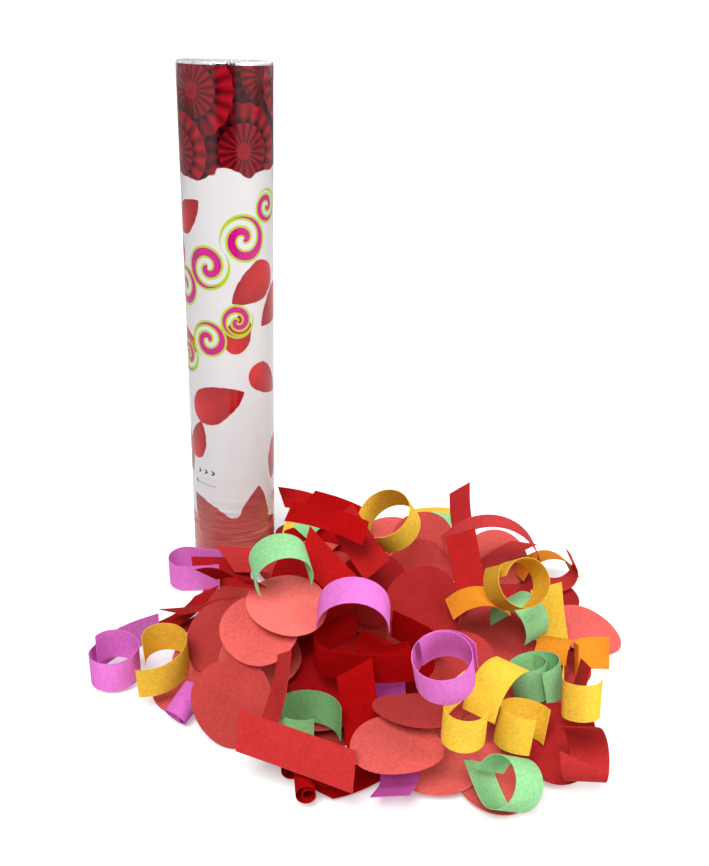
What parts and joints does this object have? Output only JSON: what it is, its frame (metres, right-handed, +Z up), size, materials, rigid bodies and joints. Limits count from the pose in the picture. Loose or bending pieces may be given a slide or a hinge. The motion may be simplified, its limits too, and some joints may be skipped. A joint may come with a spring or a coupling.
{
  "type": "confetti popper",
  "caption": "Hand-held twist-to-fire confetti popper: card tube with foil cover, air bottle and striker, beside a loose heap of paper petals and streamers.",
  "frame": {"origin": "centre of the base on the floor", "axes": "+Z up the barrel towards the foil cover, -Y towards the side that the heap lies on"},
  "size_m": [0.2786, 0.3023, 0.2815],
  "materials": {
    "card": "matte",
    "film": "gloss",
    "foil": "crinkled",
    "moulding": "satin",
    "carrier": "satin",
    "steel": "bright",
    "bottle": "satin",
    "red_paper": "matte",
    "yellow_paper": "matte",
    "green_paper": "matte",
    "violet_paper": "matte",
    "orange_paper": "matte"
  },
  "bodies": {
    "barrel": {"barrel_tube": "card", "barrel_film": "film", "breech_housing": "moulding", "retaining_ring": "steel", "air_bottle": "bottle", "bottle_seal": "foil", "crimp_cap": "bottle", "vent_ring": "moulding", "return_spring": "steel"},
    "grip": {"grip_sleeve": "card", "grip_film": "film", "twist_base": "moulding"},
    "striker": {"striker_carrier": "carrier", "piercing_needle": "steel"},
    "shot": {"wad": "card", "packed_petals": "red_paper", "packed_red_strips": "red_paper", "packed_yellow_streamers": "yellow_paper", "packed_green_streamers": "green_paper", "packed_violet_streamers": "violet_paper", "packed_orange_streamers": "orange_paper"},
    "foil": {"foil_cover": "foil"},
    "loose_confetti": {"loose_red_petals": "red_paper", "loose_red_strips": "red_paper", "loose_red_rolls": "red_paper", "loose_yellow_streamers": "yellow_paper", "loose_green_streamers": "green_paper", "loose_violet_streamers": "violet_paper", "loose_orange_streamers": "orange_paper"}
  },
  "joints": [
    {"name": "twist", "type": "hinge", "parent": "barrel", "child": "grip", "pos_m": [0, 0, 0.03], "axis": [0, 0, -1], "range_deg": [0, 90]},
    {"name": "strike", "type": "slide", "parent": "barrel", "child": "striker", "axis": [0, 0, 1], "range_m": [0, 0.006], "deforming": ["return_spring", "bottle_seal"]},
    {"name": "shot", "type": "slide", "parent": "barrel", "child": "shot", "axis": [0, 0, 1], "range_m": [0, 0.16]},
    {"name": "foil", "type": "slide", "parent": "barrel", "child": "foil", "axis": [0, 0, 1], "range_m": [0, 0.16]},
    {"name": "heap", "type": "slide", "parent": "barrel", "child": "loose_confetti", "axis": [0, -1, 0], "range_m": [0, 0.25]}
  ],
  "couplings": [
    {"joint": "strike", "follows": "twist", "m_per_rad": 0.0038197},
    {"joint": "foil", "follows": "shot", "ratio": 1}
  ]
}
